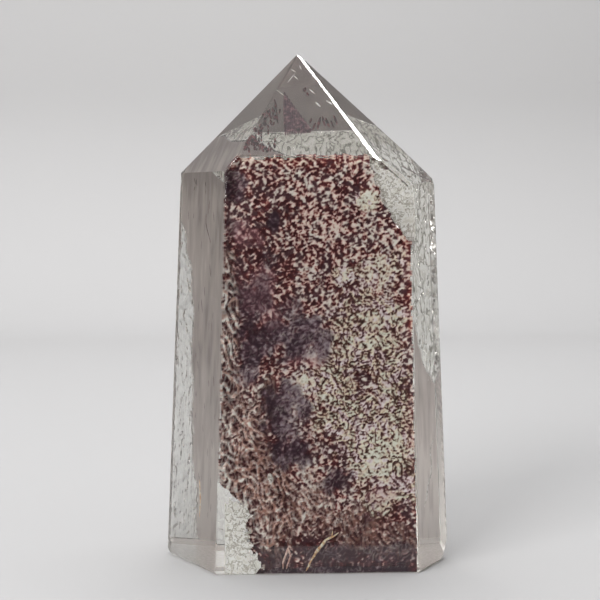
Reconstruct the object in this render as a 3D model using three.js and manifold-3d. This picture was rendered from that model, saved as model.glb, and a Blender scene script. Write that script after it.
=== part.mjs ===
// Garden quartz point: a hexagonal tower of clear quartz, sawn flat at the base, ground to six
// prism faces and six point faces, and polished. A thin mossy layer of dark minerals, the garden,
// stands just behind the broad front face and runs down to the sawn base, where it is cut through.
// Millimetres, +Z up. The origin is the middle of the base, and the front face looks along -Y.
import * as THREE from "three";
import { ImprovedNoise } from "three/addons/math/ImprovedNoise.js";
import { mergeVertices } from "three/addons/utils/BufferGeometryUtils.js";
import Module from "manifold-3d";

const wasm = await Module();
wasm.setup();

// The rough block, and the point where the six point faces would meet before the tip is blunted.
const BLOCK = [60, 44, 80];
const TIP = new THREE.Vector3(-1.1, 0.5, 62.2);
const TIP_BLUNTED = 0.2;

// Prism faces, in order round the stone. Azimuth is in degrees about Z from the front, and +90 is
// the right-hand side. Lean is the taper from the vertical. Reach is from the axis to the face at
// the base. Foot is the bevel along the lower edge: its height, and how far it turns under.
const PRISM = {
  front: { azimuth: 0, lean: 1.6, reach: 9.3, foot: { height: 1.15, turn: 20 } },
  frontRight: { azimuth: 58.3, lean: 2.3, reach: 15.95, foot: { height: 0.35, turn: 45 } },
  backRight: { azimuth: 120, lean: 1.9, reach: 14.1, foot: { height: 0.45, turn: 45 } },
  back: { azimuth: 180, lean: 1.8, reach: 9.3, foot: { height: 0.6, turn: 45 } },
  backLeft: { azimuth: -120, lean: 1.9, reach: 16.1, foot: { height: 0.45, turn: 45 } },
  frontLeft: { azimuth: -61.4, lean: 2.2, reach: 14.4, foot: { height: 0.4, turn: 45 } },
};
const SIDES = Object.keys(PRISM);

// Point faces: azimuth, and slope from the horizontal.
const POINT = {
  front: { azimuth: 0.7, slope: 56.5 },
  frontRight: { azimuth: 53.3, slope: 46.6 },
  backRight: { azimuth: 119, slope: 47.9 },
  back: { azimuth: 181, slope: 60 },
  backLeft: { azimuth: -118, slope: 47 },
  frontLeft: { azimuth: -62, slope: 50.7 },
};

// Depth taken off the sharp edges. The edge between the front and the front-right point faces
// carries a wider polished bevel, which opens from the tip towards the shoulder.
const EDGE_DEPTH = 0.06;
const GLINT_DEPTH = { top: 0.035, bottom: 0.13 };

// The unpolished chip along the edge between the two right-hand point faces: where it starts, as a
// share of the way from the tip to the shoulder, and its depth at the shoulder.
const CHIP = { start: 0.66, depth: 0.25 };

// Small facets over two shoulder corners: depth below the corner.
const SHOULDER_RIGHT = 0.2;
const SHOULDER_LEFT = 0.15;

// Rounded lower corners, each a run of flats along a quarter ellipse: how far in along the base and
// how far up the edge it reaches, and the number of flats.
const HEEL_RIGHT = { inward: 1.9, upward: 4.6, flats: 5 };
const HEEL_LEFT = { inward: 0.8, upward: 1.8, flats: 3 };

// The garden: clear stone in front of it, the gap kept round it, how thick it is, the mounds that
// swell behind it, and the small lumps all over it.
const WINDOW = 1;
const GAP = 0.35;
const THICK = 1.4;
const MOUND = 1.5;
const LUMP = 0.4;
const TOP = 49.1;
// Its sides, as [height, x]. The lower left corner of the front face stays clear, and so does the
// upper right one. Both sides waver a little.
const LEFT_SIDE = [
  [0, -6.1], [3.3, -6.8], [6.6, -7.6], [9.2, -8.6], [11.2, -10.15], [30, -9.85], [46.8, -9.25], [TOP, -8],
];
const RIGHT_SIDE = [
  [0, 12.3], [23, 11.7], [38.5, 11.3], [40.2, 10.7], [41.8, 9.8], [44.4, 8.3], [47.3, 7.4], [TOP, 6.6],
];
const WAVER = 0.25;
const GARDEN_GRID = { across: 24, deep: 2, up: 48 };
const POCKET_GRID = { across: 12, deep: 1, up: 24 };

const noise = new ImprovedNoise();
const { clamp, degToRad, lerp } = THREE.MathUtils;
const UP = new THREE.Vector3(0, 0, 1);

// A closed geometry as a solid, and back.
function toSolid(geometry) {
  const bare = geometry.clone().deleteAttribute("normal").deleteAttribute("uv");
  const merged = mergeVertices(bare, 1e-4);
  return new wasm.Manifold(
    new wasm.Mesh({
      numProp: 3,
      vertProperties: new Float32Array(merged.attributes.position.array),
      triVerts: new Uint32Array(merged.index.array),
    }),
  );
}

function toGeometry(solid) {
  const mesh = solid.getMesh();
  return new THREE.BufferGeometry()
    .setAttribute("position", new THREE.BufferAttribute(mesh.vertProperties, 3))
    .setIndex(new THREE.BufferAttribute(mesh.triVerts, 1));
}

// The point at an azimuth, a distance out from the axis and a height.
function outAt(azimuth, distance, height) {
  return new THREE.Vector3(0, -distance, height).applyAxisAngle(UP, degToRad(azimuth));
}

// The plane through a point whose outward normal has this azimuth, and rises this many degrees.
function planeAt(point, azimuth, rise) {
  const normal = outAt(azimuth, Math.cos(degToRad(rise)), Math.sin(degToRad(rise)));
  return new THREE.Plane().setFromNormalAndCoplanarPoint(normal, point);
}

// Takes off everything outside the plane.
function grind(stone, plane) {
  const size = 2 * BLOCK[2];
  const waste = new THREE.BoxGeometry(size, size, size).translate(0, 0, size / 2);
  waste.applyQuaternion(new THREE.Quaternion().setFromUnitVectors(UP, plane.normal));
  const foot = plane.coplanarPoint(new THREE.Vector3());
  return stone.subtract(toSolid(waste.translate(foot.x, foot.y, foot.z)));
}

// The corner where three planes meet.
function cornerOf(a, b, c) {
  const bc = new THREE.Vector3().crossVectors(b.normal, c.normal);
  const ca = new THREE.Vector3().crossVectors(c.normal, a.normal);
  const ab = new THREE.Vector3().crossVectors(a.normal, b.normal);
  const volume = a.normal.dot(bc);
  return bc
    .multiplyScalar(-a.constant)
    .addScaledVector(ca, -b.constant)
    .addScaledVector(ab, -c.constant)
    .divideScalar(volume);
}

// The flat along the edge between two faces, at a depth below the edge at each end.
function edgeFlat(a, b, start, end, startDepth, endDepth) {
  const out = new THREE.Vector3().addVectors(a.normal, b.normal).normalize();
  const from = start.clone().addScaledVector(out, -startDepth);
  const to = end.clone().addScaledVector(out, -endDepth);
  const along = to.clone().sub(from).normalize();
  const normal = out.clone().addScaledVector(along, -out.dot(along)).normalize();
  return new THREE.Plane().setFromNormalAndCoplanarPoint(normal, from);
}

// The flat over the corner where three faces meet.
function cornerFlat(faces, depth) {
  const out = new THREE.Vector3();
  faces.forEach((face) => out.add(face.normal));
  out.normalize();
  const point = cornerOf(...faces).addScaledVector(out, -depth);
  return new THREE.Plane().setFromNormalAndCoplanarPoint(out, point);
}

// The flats that round the lower end of an upright edge.
function heelFlats(corner, heel) {
  const outward = new THREE.Vector3(Math.sign(corner.x), 0, 0);
  return Array.from({ length: heel.flats }, (_, i) => {
    const turn = ((i + 0.5) / heel.flats) * (Math.PI / 2);
    const point = corner
      .clone()
      .addScaledVector(outward, heel.inward * (Math.cos(turn) - 1))
      .setZ(heel.upward * (1 - Math.sin(turn)));
    const normal = outward.clone().multiplyScalar(Math.cos(turn) / heel.inward);
    normal.z = -Math.sin(turn) / heel.upward;
    return new THREE.Plane().setFromNormalAndCoplanarPoint(normal.normalize(), point);
  });
}

// The stone as it is ground and polished, with no room in it yet for the garden.
function polishedStone() {
  const base = planeAt(new THREE.Vector3(), 0, -90);
  const prism = {};
  const point = {};
  for (const side of SIDES) {
    const { azimuth, lean, reach } = PRISM[side];
    prism[side] = planeAt(outAt(azimuth, reach, 0), azimuth, lean);
    point[side] = planeAt(TIP, POINT[side].azimuth, 90 - POINT[side].slope);
  }
  const cuts = [...Object.values(prism), ...Object.values(point)];

  SIDES.forEach((side, i) => {
    const next = SIDES[(i + 1) % SIDES.length];
    const toe = cornerOf(prism[side], prism[next], base);
    const upper = cornerOf(prism[side], prism[next], point[side]);
    cuts.push(edgeFlat(prism[side], prism[next], upper, toe, EDGE_DEPTH, EDGE_DEPTH));
    const ends = [TIP, cornerOf(point[side], point[next], prism[side])];
    const depths = side === "front" ? [GLINT_DEPTH.top, GLINT_DEPTH.bottom] : [EDGE_DEPTH, EDGE_DEPTH];
    cuts.push(edgeFlat(point[side], point[next], ...ends, ...depths));
  });

  for (const side of SIDES) {
    const { azimuth, lean, reach, foot } = PRISM[side];
    const out = reach - foot.height * Math.tan(degToRad(lean));
    cuts.push(planeAt(outAt(azimuth, out, foot.height), azimuth, -foot.turn));
  }

  cuts.push(...heelFlats(cornerOf(prism.frontRight, prism.backRight, base), HEEL_RIGHT));
  cuts.push(...heelFlats(cornerOf(prism.frontLeft, prism.backLeft, base), HEEL_LEFT));

  const shoulder = cornerOf(point.frontRight, point.backRight, prism.frontRight);
  const chip = TIP.clone().lerp(shoulder, CHIP.start);
  cuts.push(edgeFlat(point.frontRight, point.backRight, chip, shoulder, 0, CHIP.depth));
  cuts.push(cornerFlat([prism.frontRight, prism.backRight, point.frontRight], SHOULDER_RIGHT));
  cuts.push(cornerFlat([prism.front, prism.frontLeft, point.frontLeft], SHOULDER_LEFT));
  cuts.push(planeAt(TIP.clone().setZ(TIP.z - TIP_BLUNTED), 0, 90));

  const block = toSolid(new THREE.BoxGeometry(...BLOCK).translate(0, 0, BLOCK[2] / 2));
  return cuts.reduce(grind, block);
}

// Where a side of the garden is at a height.
function sideAt(side, height) {
  const above = Math.max(1, side.findIndex(([z]) => z >= height - 1e-6));
  const [[z0, x0], [z1, x1]] = [side[above - 1], side[above]];
  return lerp(x0, x1, (height - z0) / (z1 - z0)) + WAVER * noise.noise(height * 0.45, 3.7, 0.4);
}

// The inner face of the clear window in front of the garden.
function windowAt(height) {
  return -PRISM.front.reach + height * Math.tan(degToRad(PRISM.front.lean)) + WINDOW;
}

// How far the garden's mounds swell backwards: broad, and higher towards the base.
function moundAt(x, z) {
  return MOUND * Math.max(0, noise.noise(x * 0.2 + 4.1, z * 0.15, 7.3) + 0.4 - z / 140);
}

// Small lumps, from 0 to 1.
function lumpAt(x, z, layer) {
  return clamp(0.5 + 0.8 * noise.noise(x * 0.75, z * 0.7, layer), 0, 1);
}

// A slab between the garden's sides, grown by a margin all round. Its front and back are given as
// distances behind the window, and its foot is at a height of its own.
function slab(grid, margin, foot, frontAt, backAt) {
  const box = new THREE.BoxGeometry(1, 1, 1, grid.across, grid.deep, grid.up).translate(0.5, 0.5, 0.5);
  const place = box.attributes.position;
  for (let i = 0; i < place.count; i++) {
    const [across, deep, up] = [place.getX(i), place.getY(i), place.getZ(i)];
    const height = up * TOP;
    const x = lerp(sideAt(LEFT_SIDE, height) - margin, sideAt(RIGHT_SIDE, height) + margin, across);
    const z = up === 0 ? foot : height + (up === 1 ? margin : 0);
    place.setXYZ(i, x, windowAt(height) + lerp(frontAt(x, height), backAt(x, height), deep), z);
  }
  return toSolid(box);
}

// The room for the garden is smooth, and the garden in it is lumpy in front and behind.
const room = slab(
  POCKET_GRID, GAP, -1,
  () => 0,
  (x, z) => THICK + moundAt(x, z) + LUMP + 2 * GAP,
);
const garden = slab(
  GARDEN_GRID, 0, 0,
  (x, z) => GAP + LUMP * lumpAt(x, z, 11.5),
  (x, z) => GAP + THICK + moundAt(x, z) + LUMP * lumpAt(x, z, 2.5),
);
const quartz = polishedStone().subtract(room);

const clearQuartz = new THREE.MeshStandardMaterial({
  color: 0xd8dad4,
  roughness: 0.04,
  metalness: 0,
  transparent: true,
  opacity: 0.35,
});
const mossyMinerals = new THREE.MeshStandardMaterial({ color: 0x5a3430, roughness: 0.85, metalness: 0 });

const quartzMesh = new THREE.Mesh(toGeometry(quartz), clearQuartz);
quartzMesh.name = "quartz_point";
const gardenMesh = new THREE.Mesh(toGeometry(garden), mossyMinerals);
gardenMesh.name = "garden_inclusion";

export default new THREE.Group().add(quartzMesh, gardenMesh);
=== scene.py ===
import math
from collections import namedtuple

import bmesh
import bpy
import numpy as np
from mathutils import Matrix, Vector


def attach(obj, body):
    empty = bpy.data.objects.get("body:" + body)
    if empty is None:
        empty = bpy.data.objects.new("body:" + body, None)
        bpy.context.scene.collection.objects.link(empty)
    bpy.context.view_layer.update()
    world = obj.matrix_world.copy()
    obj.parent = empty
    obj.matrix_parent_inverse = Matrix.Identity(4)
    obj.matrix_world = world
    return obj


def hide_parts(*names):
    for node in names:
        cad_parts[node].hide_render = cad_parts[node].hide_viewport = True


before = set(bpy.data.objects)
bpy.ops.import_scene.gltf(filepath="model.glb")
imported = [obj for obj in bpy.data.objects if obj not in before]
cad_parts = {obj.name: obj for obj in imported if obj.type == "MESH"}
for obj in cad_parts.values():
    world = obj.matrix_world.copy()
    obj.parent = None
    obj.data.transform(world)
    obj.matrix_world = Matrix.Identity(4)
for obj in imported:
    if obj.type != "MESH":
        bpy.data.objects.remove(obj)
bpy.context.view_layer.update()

# The stone. One natural quartz point, cut to a six-sided tower. The faces that show are polished,
# the rear ones and the base are left as ground, satin. Strips of natural, rippled skin stay at the
# rear, and break what shows through them into a bright mosaic.
MM = 0.001              # in metres. Sizes and places are in mm where nothing else is said
HEIGHT, HALF_WIDTH = 62.0, 18.0     # the half width is rounded up
WELD = 0.001            # vertices of the CAD mesh that are nearer to each other are one
FLAT_WITHIN = 0.003     # radians, the most that the triangles of one flat face differ
BLOCK = 200.0           # the cube that the stone is cut from
SNAP = 0.0001           # a vertex that is nearer to a cut lies on it
CUT_WELD = 0.002        # the same as WELD, after the cuts
SMALLEST_CUT = 0.01     # mm2, a facet smaller than this is left out
SHARP = 8.0             # degrees, an edge that turns more is rounded
EDGE_ROUND = 0.045      # what polishing takes off an edge
BROAD = 50.0            # mm2, a face larger than this isn't the rounding of an edge
REAR_CELL = 2.0         # first squares of the rear faces
REAR_SPLITS = 9         # extra cuts across each, so 0.2 mm
RIPPLE_DEEP, STREAK_DEEP, GROOVE_DEEP = 0.09, 0.02, 0.06
RIM_SOFT = 0.3          # half the width on which natural skin turns to ground face
TIP = Vector((-1.1, 0.5, 62.2))     # about where the edges of the point meet
GLINT_CUT = 0.09        # the flat that is ground off the front right edge of the point
GLINT_TAPER = 0.0045    # mm per mm, how much shallower it gets away from the tip
GLINT_RANK = 10.0       # mm2, the area it is taken for, so that it is cut after the broad faces
# Natural skin lies outside these two lines, which are drawn as (height, place across).
NATURAL_LEFT = [(0, -5.9), (2, -6.1), (12, -7.9), (33, -9.4), (36, -9.9), (38.5, -10.9),
                (41, -11.8), (42.2, -13.4), (52, -14.0)]
NATURAL_RIGHT = [(0, 17.0), (18, 14.0), (21, 10.0), (24, 7.0), (30, 5.0), (40, 5.0), (44, 3.0),
                 (45.6, 0.0), (46.4, -3.0), (47.5, -5.0), (49.7, -7.3), (50.3, 14.0), (62, 14.0)]


def colour(hex_code):
    """Linear colour of an sRGB hex code."""
    channels = [int(hex_code[i:i + 2], 16) / 255 for i in (1, 3, 5)]
    linear = (c / 12.92 if c <= 0.04045 else ((c + 0.055) / 1.055) ** 2.4 for c in channels)
    return (*linear, 1.0)


def add(tree, kind, links=None, stops=None, **settings):
    """Adds a node. links gives each input a value, the output that feeds it, or a node whose first
    output does. stops fill a ramp. The colours of a Mix node are its inputs 6 and 7, output 2."""
    node = tree.nodes.new(kind)
    for name, value in settings.items():
        setattr(node, name, value)
    for name, value in (links or {}).items():
        if isinstance(value, bpy.types.Node):
            value = value.outputs[0]
        if isinstance(value, bpy.types.NodeSocket):
            tree.links.new(value, node.inputs[name])
        else:
            node.inputs[name].default_value = value
    if stops:
        ramp = node.color_ramp.elements
        while len(ramp) < len(stops):
            ramp.new(1.0)
        for element, (place, tone) in zip(ramp, stops):
            element.position = place
            element.color = colour(tone) if isinstance(tone, str) else tone
    return node


def new_material(name):
    """An empty material and its node tree."""
    made = bpy.data.materials.new(name)
    made.use_nodes = True
    made.node_tree.nodes.clear()
    return made, made.node_tree


def finish_piece(shape, name, material, slot, *nodes):
    """Makes a bmesh into a piece of the stone, with its material and its place in the frame."""
    mesh = bpy.data.meshes.new(name)
    shape.to_mesh(mesh)
    shape.free()
    piece = bpy.data.objects.new(name, mesh)
    bpy.context.scene.collection.objects.link(piece)
    mesh.materials.append(material)
    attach(piece, "root")
    if nodes:
        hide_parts(*nodes)
    return piece


def waves(x, z, spacing, seed, spread=0.5, lean=0.0, stretch=1.0):
    """Many random waves of about one spacing. Returns their sum, and the distance in mm to where it
    crosses zero, which draws winding threads of even width."""
    count = 60
    draw = np.random.default_rng(seed)
    turn = draw.uniform(0, 2 * np.pi, count)
    pace = 2 * np.pi / (spacing * draw.uniform(1 - spread, 1 + spread, count))
    phase = draw.uniform(0, 2 * np.pi, count)
    across, up = pace * np.cos(turn), pace * np.sin(turn) / stretch
    across, up = (across * math.cos(lean) - up * math.sin(lean),
                  across * math.sin(lean) + up * math.cos(lean))
    total, slope_x, slope_z = np.zeros_like(x), np.zeros_like(x), np.zeros_like(x)
    for a, u, p in zip(across, up, phase):
        angle = a * x + u * z + p
        total += np.cos(angle)
        rise = np.sin(angle)
        slope_x += a * rise
        slope_z += u * rise
    usual = math.sqrt(count / 2)
    # Where the sum is nearly level, a least slope keeps the threads from spreading into blots.
    steep = np.maximum(np.hypot(slope_x, slope_z), 1.6 * usual / spacing)
    return total / usual, np.abs(total) / steep


def cloud(x, z, size, seed, octaves=3):
    """Soft noise from -1 to 1 or so, with patches of about one size in mm."""
    cells = 64
    total, weight = np.zeros_like(x), 1.0
    for octave in range(octaves):
        table = np.random.default_rng(31 * seed + octave).uniform(-1, 1, (cells, cells))
        shift = 7.3 * octave    # so that no two octaves line up
        cell_x, cell_z = x / size * 2**octave + shift, z / size * 2**octave
        ix, iz = np.floor(cell_x).astype(int), np.floor(cell_z).astype(int)
        tx, tz = cell_x - ix, cell_z - iz
        tx, tz = tx * tx * (3 - 2 * tx), tz * tz * (3 - 2 * tz)
        ix, iz, next_x, next_z = ix % cells, iz % cells, (ix + 1) % cells, (iz + 1) % cells
        near = table[ix, iz] * (1 - tx) + table[next_x, iz] * tx
        far = table[ix, next_z] * (1 - tx) + table[next_x, next_z] * tx
        total += weight * (near * (1 - tz) + far * tz)
        weight *= 0.5
    return total


def along(z, line):
    """Where a drawn line is at height z. The line is a list of (height, place)."""
    return np.interp(z, [p[0] for p in line], [p[1] for p in line])


def step(value, low, high):
    """0 below low, 1 above high, and smooth between."""
    t = np.clip((value - low) / (high - low), 0, 1)
    return t * t * (3 - 2 * t)


def fade(value, low, high):
    """1 below low, 0 above high, and smooth between."""
    return step(-value, -high, -low)


# The flat faces of the solid are the planes that the stone is cut along.
Cut = namedtuple("Cut", "place normal area")
hull = bmesh.new()
hull.from_mesh(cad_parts["quartz_point"].data)
bmesh.ops.remove_doubles(hull, verts=hull.verts, dist=WELD * MM)
skin = set(bmesh.ops.convex_hull(hull, input=hull.verts)["geom"])
bmesh.ops.delete(hull, geom=[f for f in hull.faces if f not in skin], context="FACES_ONLY")
bmesh.ops.delete(hull, geom=[v for v in hull.verts if not v.link_faces], context="VERTS")
bmesh.ops.dissolve_limit(hull, angle_limit=FLAT_WITHIN, verts=hull.verts, edges=hull.edges)
cuts = [Cut(f.calc_center_median(), f.normal.copy(), f.calc_area()) for f in hull.faces]
hull.free()


def broadest(fits):
    """The broadest flat face whose normal fits."""
    return max((cut for cut in cuts if fits(cut.normal)), key=lambda cut: cut.area)


front_point = broadest(lambda n: n.y < -0.8 and n.z > 0.3)
right_point = broadest(lambda n: n.y < -0.2 and n.x > 0.3 and n.z > 0.3)
across = (front_point.normal + right_point.normal).normalized()
uphill = front_point.normal.cross(right_point.normal).normalized()
uphill = uphill if uphill.z > 0 else -uphill
cuts.append(Cut(TIP * MM - across * (GLINT_CUT * MM),
                (across + uphill * GLINT_TAPER).normalized(), GLINT_RANK * MM**2))

stone = bmesh.new()
rear_mark = stone.faces.layers.int.new("rear")
satin_mark = stone.verts.layers.float.new("satin")
skin_mark = stone.verts.layers.float.new("skin")
bmesh.ops.create_cube(stone, size=BLOCK * MM)
for cut in sorted(cuts, key=lambda cut: -cut.area):
    if cut.area > SMALLEST_CUT * MM**2:
        whole = stone.verts[:] + stone.edges[:] + stone.faces[:]
        ground = bmesh.ops.bisect_plane(stone, geom=whole, dist=SNAP * MM, plane_co=cut.place,
                                        plane_no=cut.normal, clear_outer=True)
        rim = [e for e in ground["geom_cut"] if isinstance(e, bmesh.types.BMEdge)]
        if rim:
            bmesh.ops.edgeloop_fill(stone, edges=rim)
bmesh.ops.remove_doubles(stone, verts=stone.verts, dist=CUT_WELD * MM)
bmesh.ops.recalc_face_normals(stone, faces=stone.faces)
sharp = [e for e in stone.edges
         if len(e.link_faces) == 2 and e.calc_face_angle() > math.radians(SHARP)]
bmesh.ops.bevel(stone, geom=sharp, offset=EDGE_ROUND * MM, offset_type="OFFSET", segments=2,
                profile=0.5, affect="EDGES", material=-1, clamp_overlap=True)
bmesh.ops.recalc_face_normals(stone, faces=stone.faces)

# Satin are the rear faces, the base and the rear foot bevels. The upright rear faces and the right
# rear face of the point are cut into small squares, because natural skin is left on them.
for f in stone.faces:
    n, broad = f.normal, f.calc_area() > BROAD * MM**2
    f[rear_mark] = int(broad and n.y > 0.3 and (n.z < 0.3 or n.x > 0.3))
    frosted = broad and (n.y > 0.3 or n.z < -0.9) or n.y > 0.1 and n.z < -0.3
    for v in f.verts:
        v[satin_mark] = max(v[satin_mark], float(frosted))


def on_rear(elements):
    """Those of the stone's vertices or edges that a rear face touches."""
    return [e for e in elements if any(f[rear_mark] for f in e.link_faces)]


for axis, low, high in ((Vector((1, 0, 0)), -HALF_WIDTH, HALF_WIDTH),
                        (Vector((0, 0, 1)), 0, HEIGHT)):
    for place in np.arange(low + REAR_CELL, high, REAR_CELL):
        rear = [f for f in stone.faces if f[rear_mark]]
        bmesh.ops.bisect_plane(stone, geom=on_rear(stone.verts) + on_rear(stone.edges) + rear,
                               dist=SNAP * MM, plane_co=axis * (place * MM), plane_no=axis)
uneven = [f for f in stone.faces if f[rear_mark] and len(f.verts) != 4]
bmesh.ops.triangulate(stone, faces=uneven)
bmesh.ops.subdivide_edges(stone, edges=on_rear(stone.edges), cuts=REAR_SPLITS, use_grid_fill=True)

# The natural skin is pressed inwards from the faces. x runs on round the corners, so that the
# ripples aren't drawn out where a face turns away.
rear = on_rear(stone.verts)
spots = np.array([v.co for v in rear]) / MM
x, z = spots[:, 0] + 0.5 * spots[:, 1], spots[:, 2]
uneven_rim = 0.5 * cloud(x, z, size=2.5, seed=71)
past_left = along(z, NATURAL_LEFT) - spots[:, 0] + uneven_rim
past_right = spots[:, 0] - along(z, NATURAL_RIGHT) + uneven_rim
natural = np.maximum(step(past_left, -RIM_SOFT, RIM_SOFT), step(past_right, -RIM_SOFT, RIM_SOFT))
broad_ripple = waves(x, z, spacing=2.6, seed=72)[0]
fine_ripple = waves(x, z, spacing=1.15, seed=73)[0]
streak = waves(x, z, spacing=1.0, seed=74, stretch=4.0)[0]
groove_line = waves(x, z, spacing=3.2, seed=75, stretch=1.8)[1]
groove = fade(groove_line, 0.02, 0.16) * step(cloud(x, z, size=3.0, seed=76), 0.0, 0.5)
ripple = np.maximum(1.3 + 0.55 * broad_ripple + 0.24 * fine_ripple, 0)
deep = natural * (RIPPLE_DEEP * ripple + STREAK_DEEP * (1 + streak) + GROOVE_DEEP * groove)
inwards = [v.normal * float(-max(d, 0)) * MM if all(f[rear_mark] for f in v.link_faces) else None
           for v, d in zip(rear, deep)]
for v, push, share in zip(rear, inwards, natural):
    v[satin_mark], v[skin_mark] = float(1 - share), float(share)
    if push:
        v.co += push

# Polished quartz: glass-clear, with a faint smoky body. The ground faces are satin, which blurs
# what shows through them to one grey, and fine wheel marks run up them. On the natural skin, a pale
# crackle of winding dark lines is painted light and shade, for the mosaic that the ripples make.
WHEEL_MARKS = (1500, 1500, 150)     # per metre, so marks 0.7 mm wide and 7 mm tall
SMEARS = (900, 900, 130)            # per metre, so 1.1 mm wide and 8 mm tall
CRACKLE_SIZE = (1000, 1000, 420)         # per metre, so 1 mm wide and 2.4 mm tall
CLOSER_ABOVE, CLOSER = 47.5, 1.4    # above this height, how much closer the painted crackle gets
PALER_LEFT_OF = (-10, -5)              # left of this stretch less crackle is painted, so the skin is painted paler: painted light
# painted light and shade by height on the satin faces: share of the height, how much paler
HEIGHT_SHADE = [(0.14, 0.5), (0.3, 0.26), (0.7, 0.27), (0.76, 0.02), (0.83, 0.0)]
quartz, tree = new_material("quartz_lapidary_polished")
where = add(tree, "ShaderNodeTexCoord").outputs["Object"]
satin = add(tree, "ShaderNodeAttribute", attribute_name="satin").outputs["Fac"]
skin_share = add(tree, "ShaderNodeAttribute", attribute_name="skin").outputs["Fac"]
wheel = add(tree, "ShaderNodeMapping", {"Vector": where, "Scale": WHEEL_MARKS})
marks = add(tree, "ShaderNodeTexNoise", {"Vector": wheel, "Scale": 1.0, "Detail": 3.0})
coarse = add(tree, "ShaderNodeMapRange", {"Value": marks.outputs["Fac"], "From Min": 0.3,
                                          "From Max": 0.7, "To Min": 0.38, "To Max": 0.5})
matt = add(tree, "ShaderNodeMath", {0: skin_share, 1: 0.1}, operation="MULTIPLY")
rough = add(tree, "ShaderNodeMath", {0: satin, 1: coarse, 2: matt}, operation="MULTIPLY_ADD")

# The satin faces are painted darker near the tip and paler at the foot: painted shade and light
# by height. The list above gives the share of the height, and how much paler the face is there.
smear = add(tree, "ShaderNodeMapping", {"Vector": where, "Scale": SMEARS})
smears = add(tree, "ShaderNodeTexNoise", {"Vector": smear, "Scale": 1.0, "Detail": 4.0})
parts = add(tree, "ShaderNodeSeparateXYZ", {0: where})
tall = add(tree, "ShaderNodeMath", {0: parts.outputs["Z"], 1: 1 / (HEIGHT * MM)},
           operation="MULTIPLY")
painted_height_shade = add(tree, "ShaderNodeValToRGB", {"Fac": tall},
           stops=[(place, (share, share, share, 1.0)) for place, share in HEIGHT_SHADE])
smeared_and_height_shaded = add(tree, "ShaderNodeMath", {0: smears.outputs["Fac"], 1: painted_height_shade}, operation="ADD")
paste = add(tree, "ShaderNodeValToRGB", {"Fac": smeared_and_height_shaded},
            stops=[(0.3, "#372d2a"), (0.6, "#5a4d48"), (0.7, "#75665f"), (0.9, "#8f7f78"),
                   (1.0, "#aa9b92")])

# The painted crackle of the natural skin, painted light and shade: closer above the garden,
# darkened there by painted shade, and painted paler at the left.
over = add(tree, "ShaderNodeMath", {0: parts.outputs["Z"], 1: -CLOSER_ABOVE * MM}, operation="ADD")
over = add(tree, "ShaderNodeMath", {0: over, 1: 0.0}, operation="MAXIMUM")
closer = add(tree, "ShaderNodeMath", {0: over, 1: CLOSER, 2: parts.outputs["Z"]},
             operation="MULTIPLY_ADD")
finer = add(tree, "ShaderNodeCombineXYZ", {"X": parts.outputs["X"], "Y": parts.outputs["Y"],
                                           "Z": closer})
drawn_up = add(tree, "ShaderNodeMapping", {"Vector": finer, "Scale": CRACKLE_SIZE})
crackle_noise = add(tree, "ShaderNodeTexNoise", {"Vector": drawn_up, "Scale": 1.0, "Detail": 2.5,
                                           "Distortion": 0.5})
# painted light and shade: pale patches and dark winding lines of the skin's mosaic
painted_crackle = add(tree, "ShaderNodeValToRGB", {"Fac": crackle_noise.outputs["Fac"]},
              stops=[(0.3, "#fbfbf6"), (0.43, "#d6d5c9"), (0.48, "#4c493e"), (0.498, "#5a574b"),
                     (0.535, "#fafaf4"), (0.62, "#d6d5c9"), (0.7, "#a5a395")])
# painted shade: the crackle is darkened from about 45 mm up, over the garden's top
painted_band_shade = add(tree, "ShaderNodeValToRGB", {"Fac": tall},
            stops=[(0.725, "#ffffff"), (0.755, "#bcb8b0")])
shaded = add(tree, "ShaderNodeMix", {0: 1.0, 6: painted_crackle, 7: painted_band_shade}, data_type="RGBA",
             blend_type="MULTIPLY").outputs[2]
# painted light: towards the left the skin is painted paler, with less of the crackle
painted_left_light = add(tree, "ShaderNodeMapRange", {"Value": parts.outputs["X"],
                                        "From Min": PALER_LEFT_OF[0] * MM,
                                        "From Max": PALER_LEFT_OF[1] * MM,
                                        "To Min": 0.3, "To Max": 1.0})
crackle_share = add(tree, "ShaderNodeMath", {0: skin_share, 1: painted_left_light}, operation="MULTIPLY")
painted_skin = add(tree, "ShaderNodeMix", {0: crackle_share, 6: colour("#fbfbf8"), 7: shaded},
           data_type="RGBA").outputs[2]
tint = add(tree, "ShaderNodeMix", {0: satin, 6: painted_skin, 7: paste}, data_type="RGBA").outputs[2]
body = add(tree, "ShaderNodeBsdfPrincipled", {"Base Color": tint, "IOR": 1.544,
                                              "Transmission Weight": 1.0, "Roughness": rough})
smoke = add(tree, "ShaderNodeVolumeAbsorption", {"Color": colour("#c2b8a8"), "Density": 9.0})
add(tree, "ShaderNodeOutputMaterial", {"Surface": body, "Volume": smoke})
finish_piece(stone, "quartz_clear", quartz, "clear_quartz", "quartz_point")

# The garden. A skin of iron and chlorite minerals that grew on the young crystal and was then grown
# over: maroon and slate grounds, cream and sand-pink threads, all in a layer behind the front face.
GARDEN_CELL = 0.115     # one step of its surface
BEHIND_FACE = 1.35      # from the front face to the layer
THICK = 0.9
NARROWING = 0.55        # how far its rim narrows for each mm that it goes back
FRONT_AT_BASE, FRONT_LEAN = -9.3, math.tan(math.radians(1.6))
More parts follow.
